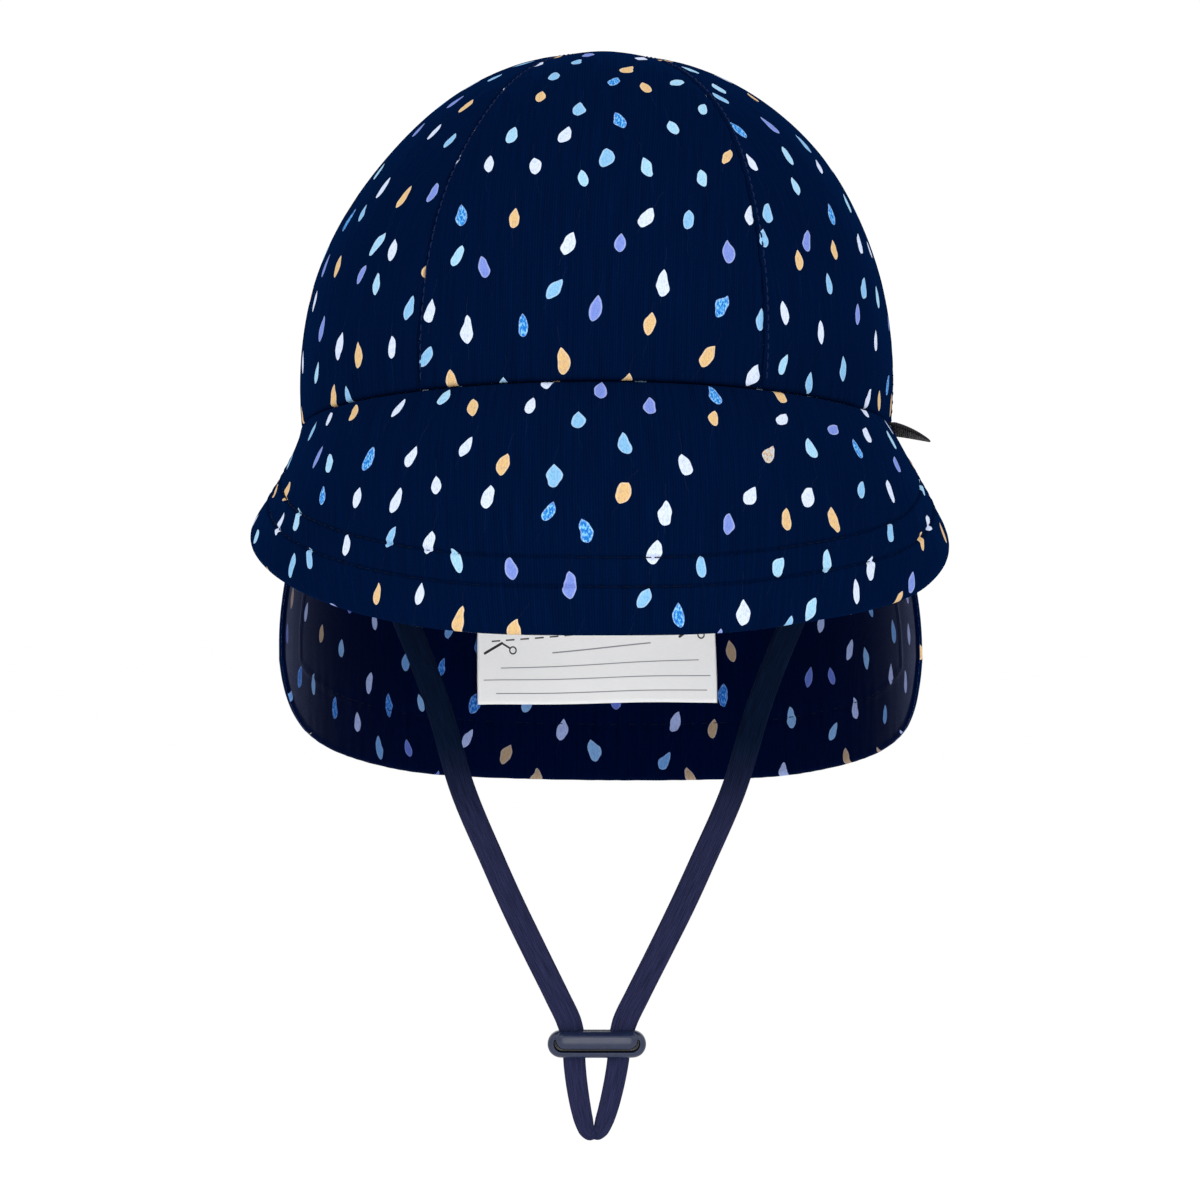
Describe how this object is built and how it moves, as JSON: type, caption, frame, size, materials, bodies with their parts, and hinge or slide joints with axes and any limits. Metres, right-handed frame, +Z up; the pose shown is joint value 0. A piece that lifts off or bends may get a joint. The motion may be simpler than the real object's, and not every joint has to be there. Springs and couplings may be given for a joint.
{
  "type": "legionnaire hat",
  "caption": "Toddler's legionnaire hat in printed cotton jersey, with a sewn crown, a soft peak, a neck flap and a chin strap with a slider.",
  "frame": {"origin": "centre of the head opening, in the plane of the rim, where the hat sits on a head", "axes": "+Z up as worn, -Y to the front of the hat, +X to the wearer's left, where the side tag is"},
  "size_m": [0.1736, 0.2165, 0.2742],
  "materials": {
    "printed_jersey": "navy cotton jersey printed with scattered pale teardrops",
    "strap_jersey": "flat tube of plain navy jersey",
    "slider_plastic": "moulded, semi-gloss",
    "label_satin": "white satin tape with a dashed line and ruled lines",
    "tag_tape": "black woven tape, bare"
  },
  "bodies": {
    "root": {"panel_front": "printed_jersey", "panel_front_left": "printed_jersey", "panel_back_left": "printed_jersey", "panel_back": "printed_jersey", "panel_back_right": "printed_jersey", "panel_front_right": "printed_jersey", "peak": "printed_jersey", "neck_flap": "printed_jersey", "chin_strap": "strap_jersey", "slider": "slider_plastic", "name_label": "label_satin", "side_tag": "tag_tape"}
  },
  "joints": []
}
